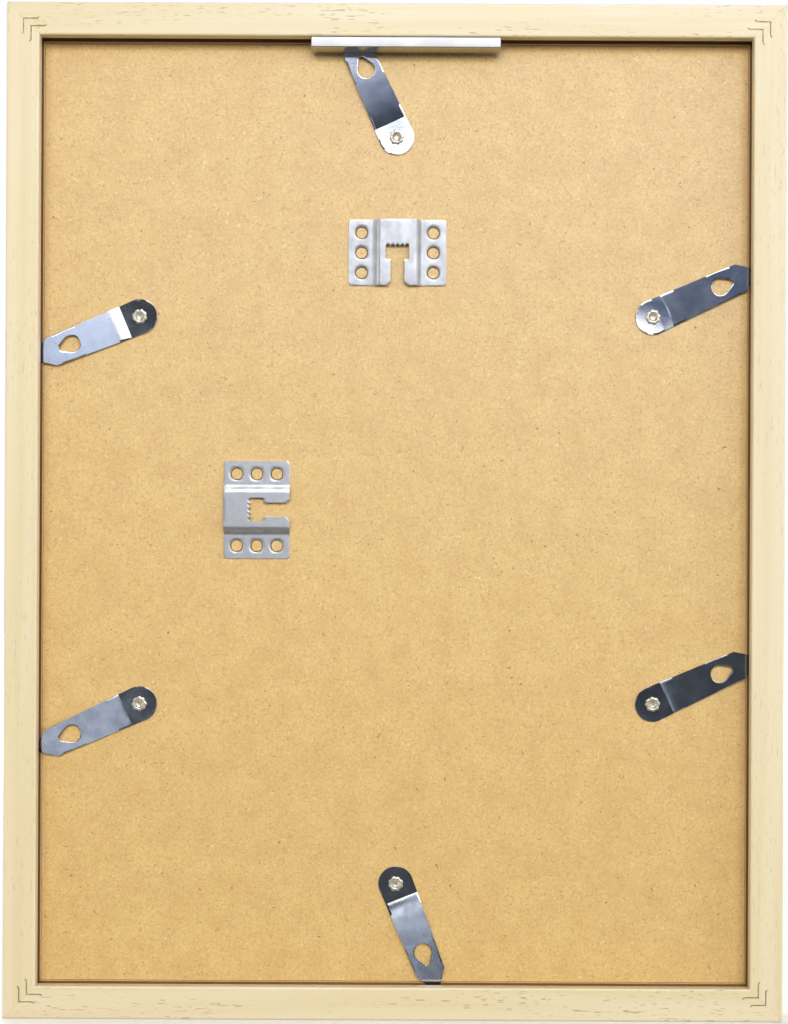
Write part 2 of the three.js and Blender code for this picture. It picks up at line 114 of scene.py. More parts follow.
def absolute(tree, value):
    return putNode(tree, "Math", {0: value}, operation="ABSOLUTE").outputs[0]


def newGroup(name, inputs, outputs):
    tree = bpy.data.node_groups.new(name, "ShaderNodeTree")
    for label, kind, value in inputs:
        socket = tree.interface.new_socket(label, in_out="INPUT", socket_type="NodeSocket" + kind)
        if value is not None:
            socket.default_value = value
    for label, kind in outputs:
        tree.interface.new_socket(label, in_out="OUTPUT", socket_type="NodeSocket" + kind)
    return tree, tree.nodes.new("NodeGroupInput").outputs, tree.nodes.new("NodeGroupOutput").inputs


def newMaterial(name, **plain):
    material = bpy.data.materials.new(name)
    material.use_nodes = True
    tree = material.node_tree
    shader = tree.nodes["Principled BSDF"]
    for socket, value in plain.items():
        shader.inputs[socket.replace("_", " ")].default_value = value
    place = putNode(tree, "TexCoord").outputs["Object"]
    return material, tree, shader, place


def useGroup(tree, group, inputs):
    return putNode(tree, "Group", inputs, node_tree=group).outputs


def addBump(tree, shader, height, strength, depth):
    inputs = {"Height": height, "Strength": strength, "Distance": depth}
    tree.links.new(putNode(tree, "Bump", inputs).outputs[0], shader.inputs["Normal"])


# wood grain that runs along X: soft streaks, fine fibres and short open pores that stand in clusters. Scales
# are in waves per metre, and a fade gives the values of the noise between which a mark grows to full
grainLooks = {
    "wander": (4, 12, 12),
    "sway": {"Y": 4 * mm, "Z": 6 * mm},
    "marks": {
        "streak": {"scale": (5, 170, 170), "detail": 3.0, "fade": (0.3, 0.72)},
        "fibre": {"scale": (28, 1500, 1500), "detail": 2.0, "fade": (0.25, 0.75)},
        "pore": {"scale": (210, 1500, 1500), "detail": 1.0, "fade": (0.62, 0.72)},
        "cluster": {"scale": (14, 90, 90), "detail": 1.0, "fade": (0.36, 0.58)},
    },
}


def makeGrainGroup():
    looks = grainLooks
    tree, given, out = newGroup(
        "grain along X",
        [("Vector", "Vector", None)],
        [("Streak", "Float"), ("Fibre", "Float"), ("Pore", "Float")],
    )
    wander = noise(tree, stretch(tree, given["Vector"], looks["wander"]), 1.0)
    sway = {axis: calc(tree, "MULTIPLY", wander, reach) for axis, reach in looks["sway"].items()}
    lift = putNode(tree, "CombineXYZ", sway).outputs[0]
    line = putNode(tree, "VectorMath", {0: given["Vector"], 1: lift}, operation="ADD").outputs[0]
    marks = {}
    for name, mark in looks["marks"].items():
        value = noise(tree, stretch(tree, line, mark["scale"]), 1.0, mark["detail"])
        marks[name] = ramp(tree, value, *mark["fade"])
    tree.links.new(marks["streak"], out["Streak"])
    tree.links.new(marks["fibre"], out["Fibre"])
    tree.links.new(calc(tree, "MULTIPLY", marks["pore"], marks["cluster"]), out["Pore"])
    return tree


# pressed fibre: a soft ground with pale fibres, dark chips, and thin curled threads, which are the places
# where a noise passes its middle value. Scales and fades are given as for the grain
fleckLooks = {
    "curl": {"scale": 240.0, "reach": 6 * mm},
    "mottle": {"scale": 70.0, "detail": 6.0, "roughness": 0.75},
    "grain": {"scale": 900.0, "detail": 3.0, "roughness": 0.7},
    "lyingFibre": (420, 1500, 1500),
    "uprightFibre": (1500, 1500, 420),
    "fibreFade": (0.62, 0.78),
    "chip": (800, 1100, 1100),
    "chipFade": (0.77, 0.86),
    "threadScale": 330.0,
    "threadFade": (0.05, 0.01),      # distance from the noise's middle value
    "threadClusterFade": (0.46, 0.6),
}


def makeFleckGroup():
    looks = fleckLooks
    tree, given, out = newGroup(
        "pressed fibre flecks",
        [("Vector", "Vector", None)],
        [("Mottle", "Float"), ("Grain", "Float"), ("Pale", "Float"), ("Dark", "Float"), ("Thread", "Float")],
    )
    place = given["Vector"]
    curl = {"Vector": place, "Scale": looks["curl"]["scale"], "Detail": 1.0}
    bend = putNode(tree, "TexNoise", curl).outputs[1]
    shift = putNode(tree, "VectorMath", {0: bend, 1: (0.5, 0.5, 0.5)}, operation="SUBTRACT").outputs[0]
    reach = looks["curl"]["reach"]
    sway = putNode(tree, "VectorMath", {0: shift, "Scale": reach}, operation="SCALE").outputs[0]
    curled = putNode(tree, "VectorMath", {0: place, 1: sway}, operation="ADD").outputs[0]
    lying = noise(tree, stretch(tree, curled, looks["lyingFibre"]), 1.0, 1.0)
    upright = noise(tree, stretch(tree, curled, looks["uprightFibre"]), 1.0, 1.0)
    chips = noise(tree, stretch(tree, curled, looks["chip"]), 1.0, 0.0)
    tree.links.new(noise(tree, place, **looks["mottle"]), out["Mottle"])
    tree.links.new(noise(tree, place, **looks["grain"]), out["Grain"])
    lyingPale = ramp(tree, lying, *looks["fibreFade"])
    uprightPale = ramp(tree, upright, *looks["fibreFade"])
    tree.links.new(calc(tree, "MAXIMUM", lyingPale, uprightPale), out["Pale"])
    tree.links.new(ramp(tree, chips, *looks["chipFade"]), out["Dark"])
    swirl = calc(tree, "SUBTRACT", noise(tree, place, looks["threadScale"], 1.0), 0.5)
    curledLine = ramp(tree, absolute(tree, swirl), *looks["threadFade"])
    clustered = ramp(tree, lying, *looks["threadClusterFade"])
    tree.links.new(calc(tree, "MULTIPLY", curledLine, clustered), out["Thread"])
    return tree


# plated sheet: fine pitting and faint rubbing that break up a reflection
def makePlateGroup():
    tree, given, out = newGroup(
        "plated sheet",
        [("Vector", "Vector", None), ("Pitting", "Float", 1500.0), ("Clouding", "Float", 120.0)],
        [("Pits", "Float"), ("Clouds", "Float")],
    )
    pits = putNode(tree, "TexNoise", {"Vector": given["Vector"], "Scale": given["Pitting"], "Detail": 3.0})
    clouds = putNode(tree, "TexNoise", {"Vector": given["Vector"], "Scale": given["Clouding"], "Detail": 3.0})
    tree.links.new(pits.outputs[0], out["Pits"])
    tree.links.new(clouds.outputs[0], out["Clouds"])
    return tree


grainGroup = makeGrainGroup()
fleckGroup = makeFleckGroup()
plateGroup = makePlateGroup()

# pressed and planed wood alike throw back a cool haze of the lamp
sheen = {"IOR": 1.75, "Specular_IOR_Level": 1.0, "Specular_Tint": (0.08, 0.5, 1.0, 1.0)}

railWoodLooks = {
    "pale": screenColour(247, 230, 190),
    "streak": screenColour(240, 218, 169),
    "pore": screenColour(178, 148, 96),
    "fibreShare": 0.35,
    "poreShare": {"lying": 0.75, "upright": 0.25},
    "rawShaded": screenColour(232, 200, 146),     # unfinished wood inside the rebate, darkened with painted shade of the recess
    "groove": screenColour(136, 84, 34),    # painted shade deep in its groove, a dark brown
    "roughness": (0.34, 0.44),
    "fibreHeight": 0.4,                     # against the depth of a pore
    "bump": 0.25,
    "bumpDepth": 0.2 * mm,
    "rebateHalf": (158.5 * mm, 208.5 * mm),         # past the end of the groove, across and up
    "rebateDepth": (-6.9 * mm, 7 * mm),             # from the ledge to the cover of the groove
    "grooveShadeAcross": (151.05 * mm, 151.2 * mm),       # where the painted shade in the groove begins
    "grooveShadeUp": (201.05 * mm, 201.2 * mm),
}


# two masks for painted shade: the rebate below the cover of its groove, and the groove itself past a first
# narrow strip
def rebateMasks(tree, place, looks):
    split = putNode(tree, "SeparateXYZ", {0: place}).outputs
    across = absolute(tree, split["X"])
    up = absolute(tree, split["Z"])
    halfAcross, halfUp = looks["rebateHalf"]
    ledge, cover = looks["rebateDepth"]
    inside = calc(tree, "MULTIPLY", calc(tree, "LESS_THAN", across, halfAcross),
                  calc(tree, "LESS_THAN", up, halfUp))
    depth = calc(tree, "MULTIPLY", calc(tree, "LESS_THAN", split["Y"], cover),
                 calc(tree, "GREATER_THAN", split["Y"], ledge))
    rebate = calc(tree, "MULTIPLY", inside, depth)
    beyond = calc(tree, "MAXIMUM", ramp(tree, across, *looks["grooveShadeAcross"]),
                  ramp(tree, up, *looks["grooveShadeUp"]))
    return rebate, calc(tree, "MULTIPLY", rebate, beyond)


def makeRailWood(way, turn):
    looks = railWoodLooks
    material, tree, shader, place = newMaterial("rail wood " + way, **sheen)
    along = putNode(tree, "Mapping", {"Vector": place, "Rotation": (0, turn, 0)}).outputs[0]
    grain = useGroup(tree, grainGroup, {"Vector": along})
    ground = mixColour(tree, grain["Streak"], looks["pale"], looks["streak"])
    fibreShare = ramp(tree, grain["Fibre"], 0, 1, 0, looks["fibreShare"])
    fibred = mixColour(tree, fibreShare, ground, looks["streak"])
    poreShare = calc(tree, "MULTIPLY", grain["Pore"], looks["poreShare"][way])
    pored = mixColour(tree, poreShare, fibred, looks["pore"])
    rebate, groove = rebateMasks(tree, place, looks)
    # painted shade: the rebate's unfinished wood is darkened for the shade that falls in the recess
    rawShadedWood = mixColour(tree, rebate, pored, looks["rawShaded"])
    # painted shade: past a first narrow strip the groove turns dark brown, standing in for its deep shadow
    grooveShadedWood = mixColour(tree, groove, rawShadedWood, looks["groove"])
    tree.links.new(grooveShadedWood, shader.inputs["Base Color"])
    tree.links.new(ramp(tree, grain["Fibre"], 0, 1, *looks["roughness"]), shader.inputs["Roughness"])
    raised = calc(tree, "MULTIPLY", grain["Fibre"], looks["fibreHeight"])
    addBump(tree, shader, calc(tree, "SUBTRACT", raised, grain["Pore"]), looks["bump"], looks["bumpDepth"])
    return material


fibreboardLooks = {
    "ground": screenColour(238, 201, 125),
    "deep": screenColour(210, 164, 90),
    "pale": screenColour(243, 221, 174),
    "dark": screenColour(140, 96, 46),
    "mottle": (0.3, 0.7, 0, 0.5),           # from these noise values to these shares
    "grain": (0.4, 0.75, 0, 0.65),
    "threadShare": 0.95,
    "paleShare": 0.7,
    "darkShare": 0.75,
    "roughness": (0.36, 0.48),
    "bump": 0.2,
    "bumpDepth": 0.2 * mm,
}


def makeFibreboard():
    looks = fibreboardLooks
    material, tree, shader, place = newMaterial("fibreboard", **sheen)
    fleck = useGroup(tree, fleckGroup, {"Vector": place})
    ground = mixColour(tree, ramp(tree, fleck["Mottle"], *looks["mottle"]), looks["ground"], looks["deep"])
    grained = mixColour(tree, ramp(tree, fleck["Grain"], *looks["grain"]), ground, looks["deep"])
    threadShare = calc(tree, "MULTIPLY", fleck["Thread"], looks["threadShare"])
    threaded = mixColour(tree, threadShare, grained, looks["deep"])
    paleShare = calc(tree, "MULTIPLY", fleck["Pale"], looks["paleShare"])
    fibred = mixColour(tree, paleShare, threaded, looks["pale"])
    darkShare = calc(tree, "MULTIPLY", fleck["Dark"], looks["darkShare"])
    chipped = mixColour(tree, darkShare, fibred, looks["dark"])
    tree.links.new(chipped, shader.inputs["Base Color"])
    tree.links.new(ramp(tree, fleck["Grain"], 0.3, 0.7, *looks["roughness"]), shader.inputs["Roughness"])
    addBump(tree, shader, fleck["Grain"], looks["bump"], looks["bumpDepth"])
    return material


cardLooks = {
    "ground": screenColour(247, 245, 239),
    "deep": screenColour(238, 234, 224),
    "pale": screenColour(252, 251, 247),
    "mottle": (0.3, 0.7, 0, 0.5),
    "paleShare": 0.4,
    "bump": 0.15,
    "bumpDepth": 0.1 * mm,
}


def makeCard():
    looks = cardLooks
    material, tree, shader, place = newMaterial("bare card", Roughness=0.85, Specular_IOR_Level=0.3)
    fleck = useGroup(tree, fleckGroup, {"Vector": place})
    sheet = mixColour(tree, ramp(tree, fleck["Mottle"], *looks["mottle"]), looks["ground"], looks["deep"])
    paleShare = calc(tree, "MULTIPLY", fleck["Pale"], looks["paleShare"])
    tree.links.new(mixColour(tree, paleShare, sheet, looks["pale"]), shader.inputs["Base Color"])
    addBump(tree, shader, fleck["Grain"], looks["bump"], looks["bumpDepth"])
    return material


# plain metals share the plate group; colour and roughness run between two values with the clouding
metalLooks = {
    "tab steel": {
        "bright": screenColour(206, 209, 214), "dull": screenColour(188, 191, 198), "metallic": 1.0,
        "roughness": (0.08, 0.14), "pitting": 1700.0, "clouding": 150.0, "bump": 0.09,
    },
    "rivet steel": {
        "bright": screenColour(240, 236, 224), "dull": screenColour(206, 196, 172), "metallic": 0.8,
        "roughness": (0.22, 0.36), "pitting": 2400.0, "clouding": 500.0, "bump": 0.12,
    },
    "hanger zinc": {
        "bright": screenColour(217, 219, 222), "dull": screenColour(200, 202, 206), "metallic": 1.0,
        "roughness": (0.34, 0.46), "pitting": 1600.0, "clouding": 220.0, "bump": 0.08,
    },
    "bar aluminium": {
        "bright": screenColour(173, 173, 174), "dull": screenColour(169, 169, 171), "metallic": 1.0,
        "roughness": (0.2, 0.26), "pitting": 1500.0, "clouding": 60.0, "bump": 0.02,
    },
    "nail steel": {
        "bright": screenColour(190, 176, 130), "dull": screenColour(136, 124, 82), "metallic": 0.5,
        "roughness": (0.45, 0.65), "pitting": 2400.0, "clouding": 700.0, "bump": 0.2,
    },
}
cloudFade = (0.3, 0.7)
pitDepth = 0.1 * mm


def makeMetal(name):
    looks = metalLooks[name]
    material, tree, shader, place = newMaterial(name, Metallic=looks["metallic"])
    inputs = {"Vector": place, "Pitting": looks["pitting"], "Clouding": looks["clouding"]}
    plate = useGroup(tree, plateGroup, inputs)
    colour = mixColour(tree, ramp(tree, plate["Clouds"], *cloudFade), looks["bright"], looks["dull"])
    tree.links.new(colour, shader.inputs["Base Color"])
    tree.links.new(ramp(tree, plate["Clouds"], *cloudFade, *looks["roughness"]), shader.inputs["Roughness"])
    addBump(tree, shader, plate["Pits"], looks["bump"], pitDepth)
    return material


glassLooks = {
    "tint": screenColour(250, 253, 252),
    "smears": 30.0,
    "roughness": (0.3, 0.8, 0.015, 0.05),   # from these noise values to these roughnesses
}


def makeGlass():
    looks = glassLooks
    material, tree, shader, place = newMaterial(
        "pane glass", Transmission_Weight=1.0, IOR=1.5, Base_Color=looks["tint"])
    smear = noise(tree, place, looks["smears"], 4.0)
    tree.links.new(ramp(tree, smear, *looks["roughness"]), shader.inputs["Roughness"])
    return material


metals = {name: makeMetal(name) for name in metalLooks}
lyingWood = makeRailWood("lying", 0.0)
uprightWood = makeRailWood("upright", math.pi / 2)
dressing = {
    "top_rail": lyingWood,
    "bottom_rail": lyingWood,
    "left_rail": uprightWood,
    "right_rail": uprightWood,
    "back_panel": makeFibreboard(),
    "insert_card": makeCard(),
    "glass_pane": makeGlass(),
}
for name in nodes:
    if name.startswith("v_nail"):
        dressing[name] = metals["nail steel"]
for name, material in dressing.items():
    nodes[name].data.materials.clear()
    nodes[name].data.materials.append(material)
print("materials made,", len(dressing), "nodes dressed")


pieceFinish = {
    "weld": 2e-6,
    "bevelSteps": 2,
    "bevelAngle": 50,
    "shadingWeight": 80,
}


# a closed mesh from arrays of points and quads: doubles welded, faces turned outwards, edges softly rounded
def makePiece(name, points, faces, material, rounding):
    mesh = bpy.data.meshes.new(name)
    mesh.from_pydata(points.tolist(), [], faces)
    work = bmesh.new()
    work.from_mesh(mesh)
    bmesh.ops.remove_doubles(work, verts=work.verts, dist=pieceFinish["weld"])
    bmesh.ops.recalc_face_normals(work, faces=work.faces)
    work.to_mesh(mesh)
    work.free()
    mesh.polygons.foreach_set("use_smooth", np.ones(len(mesh.polygons), bool))
    mesh.materials.append(material)
    piece = bpy.data.objects.new(name, mesh)
    bpy.context.scene.collection.objects.link(piece)
    if rounding:
        bevel = piece.modifiers.new("rounded edges", "BEVEL")
        bevel.width = rounding
        bevel.segments = pieceFinish["bevelSteps"]
        bevel.limit_method = "ANGLE"
        bevel.angle_limit = math.radians(pieceFinish["bevelAngle"])
    weighted = piece.modifiers.new("even shading", "WEIGHTED_NORMAL")
    weighted.weight = pieceFinish["shadingWeight"]
    return piece


# points given along, across and above a plan, turned about the upright axis and set on the panel
def setOnPanel(along, across, above, turn, pivot):
    x = pivot[0] + along * math.cos(turn) + across * math.sin(turn)
    z = pivot[1] - along * math.sin(turn) + across * math.cos(turn)
    return np.stack([x, panelBack + above, z], axis=-1)


# bent sheet on a grid: row i follows the side line, column j runs across it. Each face lies half the
# thickness from the side line along its normal, and wherever a kept cell ends a wall joins the two faces
def sheetGrid(lineAlong, lineAbove, across, lift, keep, thickness):
    slopeAlong = np.gradient(lineAlong)
    slopeAbove = np.gradient(lineAbove)
    length = np.hypot(slopeAlong, slopeAbove)
    sideways = (-slopeAbove / length)[:, None] * thickness / 2
    upwards = (slopeAlong / length)[:, None] * thickness / 2
    rows, columns = across.shape
    along = np.broadcast_to(lineAlong[:, None], across.shape)
    above = lineAbove[:, None] + lift
    faces = [np.stack([along + s * sideways, across, above + s * upwards], axis=-1) for s in (1, -1)]
    points = np.concatenate([f.reshape(-1, 3) for f in faces])
    upper = np.arange(rows * columns).reshape(rows, columns)
    lower = upper + rows * columns
    corners = [np.stack([g[:-1, :-1], g[:-1, 1:], g[1:, 1:], g[1:, :-1]], axis=-1) for g in (upper, lower)]
    cells = [corner[keep] for corner in corners]
    ringed = np.pad(keep, 1)
    endRow = ringed[:-1, 1:-1] != ringed[1:, 1:-1]
    endColumn = ringed[1:-1, :-1] != ringed[1:-1, 1:]
    rowWall = np.stack([upper[:, :-1], upper[:, 1:], lower[:, 1:], lower[:, :-1]], axis=-1)[endRow]
    columnWall = np.stack([upper[:-1], upper[1:], lower[1:], lower[:-1]], axis=-1)[endColumn]
    return points, np.concatenate([*cells, rowWall, columnWall])


# stretches of a cut across a sheet: each runs from one edge to the next with its own count of steps
def columnsBetween(edges, counts):
    parts = []
    for low, high, count in zip(edges[:-1], edges[1:], counts):
        share = np.linspace(0, 1, count + 1)[None, :-1]
        parts.append(low[:, None] + share * (high - low)[:, None])
    return np.concatenate([*parts, edges[-1][:, None]], axis=1)


# turn tabs: a round pad on the rivet, a sharp bend and an arm that eases off to its tip
turnTab = {
    "thickness": 0.8 * mm,
    "gapToPanel": 0.3 * mm,
    "padRadius": 7.5 * mm,
    "bendReach": 6.7 * mm,
    "cornerReach": 40.67 * mm,
    "cornerHalfWidth": 6.2 * mm,
    "tipReach": 46.97 * mm,
    "tipHalfWidth": 1.7 * mm,
    "rise": 2.4 * mm,
    "pivotHole": 2.3 * mm,
    "pearReach": 31.37 * mm,
    "pearRadius": 3.75 * mm,
    "pearTaper": 4.5 * mm,
    "pearTipRadius": 1.4 * mm,
    "rounding": 0.16 * mm,
    "columns": 8,               # on each side of a hole
    "turns": {"top": -65, "bottom": 112, "left_upper": 204.4, "left_lower": 205,
              "right_upper": 22.6, "right_lower": 24.3},
    # bent by hand, so no two are alike: length in mm over which the bend eases off, height gained in that
    # easing, how far the pad is dished under the rivet, and how many mm per mm it leans towards the arm
    "bends": {"top": (10, 0.9, 0.08, 0), "bottom": (9, 1.6, 0.05, -0.03),
              "left_upper": (1, 0.02, 0.12, 0), "left_lower": (1, 0.04, 0.2, 0),
              "right_upper": (3.3, 0.6, 0.06, -0.03), "right_lower": (1, 0.02, 0.04, 0)},
}
pivots = {j["child"]: j["pos_m"] for j in frame["joints"] if j["type"] == "hinge"}


# half width of the pear-shaped hole: a large arc, its tangent and a small arc
def pearHalfWidth(along, tab):
    lean = math.acos((tab["pearRadius"] - tab["pearTipRadius"]) / tab["pearTaper"])
    u = along - tab["pearReach"]
    largeEnd = tab["pearRadius"] * math.cos(lean)
    smallStart = tab["pearTaper"] + tab["pearTipRadius"] * math.cos(lean)
    large = np.sqrt(np.clip(tab["pearRadius"] ** 2 - u ** 2, 0, None))
    small = np.sqrt(np.clip(tab["pearTipRadius"] ** 2 - (u - tab["pearTaper"]) ** 2, 0, None))
    flank = np.interp(u, [largeEnd, smallStart],
                      [tab["pearRadius"] * math.sin(lean), tab["pearTipRadius"] * math.sin(lean)])
    return np.select([u <= largeEnd, u < smallStart], [large, flank], small)


# places along the tab: arcs are stepped by equal angles so that their outlines stay round, and the steps grow
# with the distance from the bend
def tabStations(tab):
    turn = np.linspace(0, math.pi, 25)
    quarter = turn[:13]
    bend = tab["bendReach"]
    pearEnd = tab["pearReach"] + tab["pearTaper"]
    stations = np.concatenate([
        -tab["padRadius"] * np.cos(quarter),
        tab["pivotHole"] * np.cos(turn),
        bend + np.array([-0.3, -0.1, 0, 0.1, 0.3]) * mm,
        bend + 9 * mm * np.linspace(0.06, 1, 20) ** 1.5,
        np.arange(bend + 10 * mm, tab["pearReach"] - tab["pearRadius"], 1.2 * mm),
        tab["pearReach"] + tab["pearRadius"] * np.cos(turn),
        pearEnd + tab["pearTipRadius"] * np.cos(quarter),
        np.linspace(pearEnd + tab["pearTipRadius"], tab["cornerReach"], 4),
        np.linspace(tab["cornerReach"], tab["tipReach"], 6),
    ])
    return np.unique(np.round(stations, 8))


# height of the side line: a pad that leans a little, then easeRise * (1 - exp(-u / easeReach)) plus a
# straight rise to the tip, where u is the distance past the bend
def tabSideLine(along, tab, easeReach, easeRise, padLean):
    arm = tab["tipReach"] - tab["bendReach"]
    u = np.clip(along - tab["bendReach"], 0, arm)
    pad = padLean * np.minimum(along, tab["bendReach"])
    straight = tab["rise"] - padLean * tab["bendReach"] - easeRise * (1 - math.exp(-arm / easeReach))
    eased = easeRise * (1 - np.exp(-u / easeReach))
    return tab["gapToPanel"] + tab["thickness"] / 2 + pad + eased + straight * u / arm


def makeTurnTab(side):
    tab = turnTab
    easeReach, easeRise, dishDepth, padLean = np.array(tab["bends"][side]) * (mm, mm, mm, 1)
    along = tabStations(tab)
    outer = np.where(
        along < 0,
        np.sqrt(np.clip(tab["padRadius"] ** 2 - along ** 2, 0, None)),
        np.interp(along, [0, tab["cornerReach"], tab["tipReach"]],
                  [tab["padRadius"], tab["cornerHalfWidth"], tab["tipHalfWidth"]]),
    )
    pivotGap = np.sqrt(np.clip(tab["pivotHole"] ** 2 - along ** 2, 0, None))
    gap = np.where(np.abs(along) <= tab["pivotHole"], pivotGap, pearHalfWidth(along, tab))
    columns = tab["columns"]
    across = columnsBetween([-outer, -gap, gap, outer], [columns, 1, columns])
    keep = np.ones((len(along) - 1, across.shape[1] - 1), bool)
    keep[:, columns] = (gap[:-1] < hairline) & (gap[1:] < hairline)
    reach = np.hypot(along[:, None], across)
    dish = -dishDepth * np.clip(1 - (reach / tab["padRadius"]) ** 2, 0, None)
    sideLine = tabSideLine(along, tab, easeReach, easeRise, padLean)
    points, quads = sheetGrid(along, sideLine, across, dish, keep, tab["thickness"])
    pivot = pivots["turn_tab_" + side]
    turn = math.radians(tab["turns"][side])
    placed = setOnPanel(points[:, 0], points[:, 1], points[:, 2], turn, (pivot[0], pivot[2]))
    piece = makePiece("tab_" + side, placed, quads.tolist(), metals["tab steel"], tab["rounding"])
    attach(piece, "turn_tab_" + side)
    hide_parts("turn_tab_" + side)


for side in sides:
    makeTurnTab(side)
print("turn tabs made")


# rivets: a profile of radius and height turned about the pivot, its flared rim split into uneven petals
rivet = {
    "profile": ((0.0, -2.95), (3.9, -2.95), (3.9, -2.35), (2.0, -2.35), (2.0, 1.25), (2.7, 1.3),
                (3.1, 1.34), (3.2, 1.48), (3.1, 1.7), (2.7, 1.87), (2.2, 1.9), (1.85, 1.8),
                (1.7, 1.5), (1.6, 0.9), (1.5, 0.5), (0.7, 0.42), (0.0, 0.4)),
    "tubeRow": 4,
    "rimRows": slice(5, 10),
    "petals": 8,
    "notchDepth": 0.48,         # share of the rim's overhang
    "notchSharpness": 0.35,
    "waves": ((3, 0.06), (5, 0.05)),    # count around the rim, and share of its overhang
    "steps": 96,
    "firstSeed": 40,
}


def makeRivet(side, seed):
    chance = np.random.default_rng(seed)
    profile = np.array(rivet["profile"]) * mm
    angle = np.linspace(0, 2 * math.pi, rivet["steps"], endpoint=False)
    phase = chance.uniform(0, 2 * math.pi)
    notch = (0.5 - 0.5 * np.cos(rivet["petals"] * angle + phase)) ** rivet["notchSharpness"]
    ragged = 1 + sum(share * np.sin(count * angle + chance.uniform(0, 6)) for count, share in rivet["waves"])
    radius = np.repeat(profile[:, :1], len(angle), axis=1)
    rim = rivet["rimRows"]
    tube = profile[rivet["tubeRow"], 0]
    petal = 1 - rivet["notchDepth"] * (1 - notch)
    radius[rim] = tube + (radius[rim] - tube) * petal * ragged
    height = np.repeat(profile[:, 1:], len(angle), axis=1)
    pivot = pivots["turn_tab_" + side]
    placed = setOnPanel(radius * np.cos(angle), radius * np.sin(angle), height, 0.0, (pivot[0], pivot[2]))
    grid = np.arange(radius.size).reshape(radius.shape)
    turned = np.roll(grid, -1, axis=1)
    quads = np.stack([grid[:-1], turned[:-1], turned[1:], grid[1:]], axis=-1).reshape(-1, 4)
    piece = makePiece("eyelet_" + side, placed.reshape(-1, 3), quads.tolist(), metals["rivet steel"], 0)
    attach(piece, "frame")
    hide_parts("rivet_" + side)


for number, side in enumerate(sides):
    makeRivet(side, rivet["firstSeed"] + number)
print("rivets made")


# sawtooth hangers: flanges on the panel, a raised plate between two joggles, a T-shaped slot with teeth
hanger = {
    "sheet": 1.0 * mm,
    "gapToPanel": 0.05 * mm,
    "plateHalf": 8.1 * mm,
    "joggle": 1.8 * mm,
    "flange": 11.0 * mm,
    "rise": 2.4 * mm,
    "bendRadius": 0.9 * mm,
    "height": 28.2 * mm,
    "corner": 1.3 * mm,
    "neckHalf": 3.0 * mm,
    "neckHeight": 11.0 * mm,
    "headHeight": 5.2 * mm,
    "headCorner": 0.9 * mm,
    "mouthChamfer": 1.5 * mm,
    "teeth": 5,
    "toothPitch": 2.05 * mm,
    "toothRadius": 0.905 * mm,
    "toothWall": 0.4 * mm,
    "collarHole": 3.35 * mm,
    "collarInset": 5.5 * mm,
    "collarPitch": 8.6 * mm,
    "collarProfile": ((3.36, 0.0), (3.36, 1.0), (3.2, 0.98), (2.95, 0.88), (2.75, 0.7),
                      (2.64, 0.45), (2.6, 0.1), (2.6, -1.8), (3.1, -1.8), (3.1, 0.0)),
    "collarSteps": 40,
    "rounding": 0.12 * mm,
    "places": {"hanger_upright": 0, "hanger_lying": 90},
}


# side line of the bent sheet: straight runs joined by arcs, worked out by smoothing the polyline's corners
def hangerSideLine(h):
    half = h["plateHalf"] + h["joggle"] + h["flange"]
    flat = h["gapToPanel"] + h["sheet"] / 2
    corners = np.array([
        [-half, flat], [-h["plateHalf"] - h["joggle"], flat], [-h["plateHalf"], flat + h["rise"]],
        [h["plateHalf"], flat + h["rise"]], [h["plateHalf"] + h["joggle"], flat], [half, flat],
    ])
    line = [corners[:1]]
    for before, corner, after in zip(corners[:-2], corners[1:-1], corners[2:]):
        inward = (before - corner) / np.linalg.norm(before - corner)
        outward = (after - corner) / np.linalg.norm(after - corner)
        t = np.linspace(0, 1, 9)[:, None]
        start = corner + inward * h["bendRadius"]
        end = corner + outward * h["bendRadius"]
        line.append((1 - t) ** 2 * start + 2 * t * (1 - t) * corner + t ** 2 * end)
    line.append(corners[-1:])
    return np.concatenate(line)


# places along the hanger: wherever an outline, a hole, a tooth or a bend turns
def hangerStations(h):
    half = h["plateHalf"] + h["joggle"] + h["flange"]
    turn = np.linspace(0, math.pi, 33)
    collar = half - h["collarInset"]
    headHalf = h["teeth"] * h["toothPitch"] / 2
    tooth = (np.arange(h["teeth"]) - (h["teeth"] - 1) / 2) * h["toothPitch"]
    scallop = (tooth[:, None] + h["toothRadius"] * np.cos(turn[::2])[None]).ravel()
    oneSide = np.concatenate([
        half - h["corner"] + h["corner"] * np.cos(turn[:17:2]),
        collar + h["collarHole"] * np.cos(turn),
        np.linspace(h["plateHalf"] + h["joggle"], collar - h["collarHole"], 3),
        h["neckHalf"] + h["mouthChamfer"] * np.linspace(0, 1, 4),
        headHalf - h["headCorner"] + h["headCorner"] * np.cos(turn[:17:2]),
        [headHalf, h["neckHalf"]],
        np.linspace(headHalf, h["plateHalf"], 3),
    ])
    return np.unique(np.round(np.concatenate([-oneSide, oneSide, scallop, hangerSideLine(h)[:, 0]]), 8))


